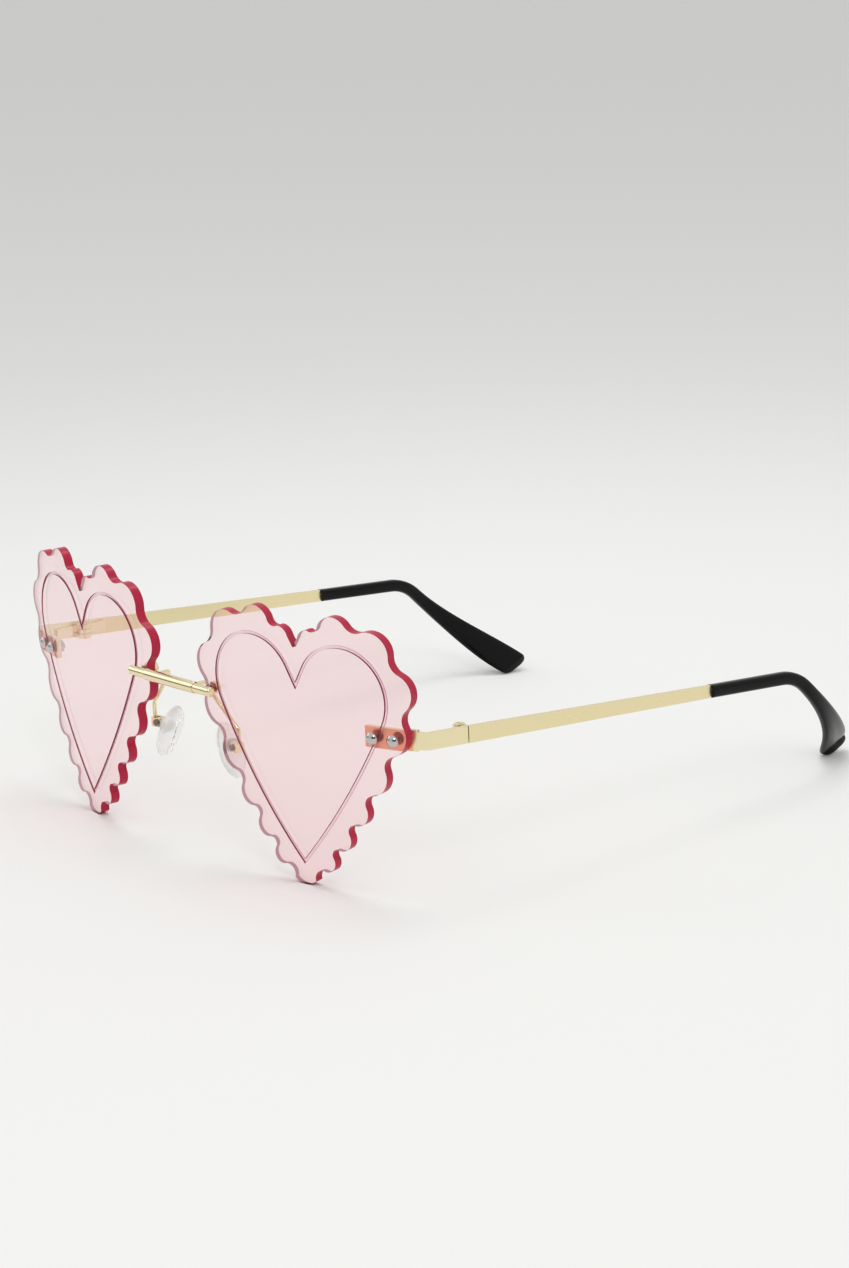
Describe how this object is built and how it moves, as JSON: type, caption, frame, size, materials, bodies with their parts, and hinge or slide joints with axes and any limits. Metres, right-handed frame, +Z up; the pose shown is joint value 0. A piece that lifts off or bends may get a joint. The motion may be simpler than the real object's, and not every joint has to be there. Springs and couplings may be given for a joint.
{
  "type": "heart shaped sunglasses",
  "caption": "Rimless sunglasses with scalloped heart lenses of pink acrylic, a gold bar bridge with rocking nose pads, and folding gold temples with black tips.",
  "frame": {"origin": "on the floor under the middle of the bounding box, with the sunglasses standing open on their lens points and temple tips", "axes": "+X to the wearer's left, +Y from the lenses back along the temples, +Z up"},
  "size_m": [0.1396, 0.1632, 0.0619],
  "materials": {
    "pink_acrylic": "clear pale pink acrylic sheet, polished, with deeper pink cut edges",
    "gold": "pale gold plate, polished",
    "silver": "bright nickel plate",
    "dark_steel": "dark steel",
    "black_plastic": "glossy black moulded plastic",
    "clear_plastic": "clear plastic",
    "clear_silicone": "clear colourless silicone",
    "pad_core": "grey translucent plastic"
  },
  "bodies": {
    "front": {"bridge_bar": "gold", "bridge_sleeve": "gold", "left_lens": "pink_acrylic", "left_lug_screws": "silver", "left_lug_bushings": "clear_plastic", "left_lug_nuts": "silver", "left_endpiece": "gold", "left_hinge_front": "gold", "left_hinge_screw": "dark_steel", "left_bridge_stud": "gold", "left_bridge_bushing": "clear_plastic", "left_bridge_nut": "silver", "left_pad_arm": "gold", "left_pad_box": "gold", "left_pad_screw": "dark_steel", "right_lens": "pink_acrylic", "right_lug_screws": "silver", "right_lug_bushings": "clear_plastic", "right_lug_nuts": "silver", "right_endpiece": "gold", "right_hinge_front": "gold", "right_hinge_screw": "dark_steel", "right_bridge_stud": "gold", "right_bridge_bushing": "clear_plastic", "right_bridge_nut": "silver", "right_pad_arm": "gold", "right_pad_box": "gold", "right_pad_screw": "dark_steel"},
    "left_temple": {"left_hinge_rear": "gold", "left_temple": "gold", "left_temple_tip": "black_plastic"},
    "left_pad": {"left_pad_core": "pad_core", "left_nose_pad": "clear_silicone"},
    "right_temple": {"right_hinge_rear": "gold", "right_temple": "gold", "right_temple_tip": "black_plastic"},
    "right_pad": {"right_pad_core": "pad_core", "right_nose_pad": "clear_silicone"}
  },
  "joints": [
    {"name": "left_temple_fold", "type": "hinge", "parent": "front", "child": "left_temple", "pos_m": [0.0661, -0.05406, 0.03552], "axis": [0, -0.0237, 0.9997], "range_deg": [0, 90]},
    {"name": "left_pad_rock", "type": "hinge", "parent": "front", "child": "left_pad", "pos_m": [0.0144, -0.07306, 0.02646], "axis": [0.1392, 0.99, 0.0234], "range_deg": [-12, 12]},
    {"name": "right_temple_fold", "type": "hinge", "parent": "front", "child": "right_temple", "pos_m": [-0.0661, -0.05406, 0.03552], "axis": [0, 0.0237, -0.9997], "range_deg": [0, 82]},
    {"name": "right_pad_rock", "type": "hinge", "parent": "front", "child": "right_pad", "pos_m": [-0.0144, -0.07306, 0.02646], "axis": [-0.1392, 0.99, 0.0234], "range_deg": [-12, 12]}
  ]
}
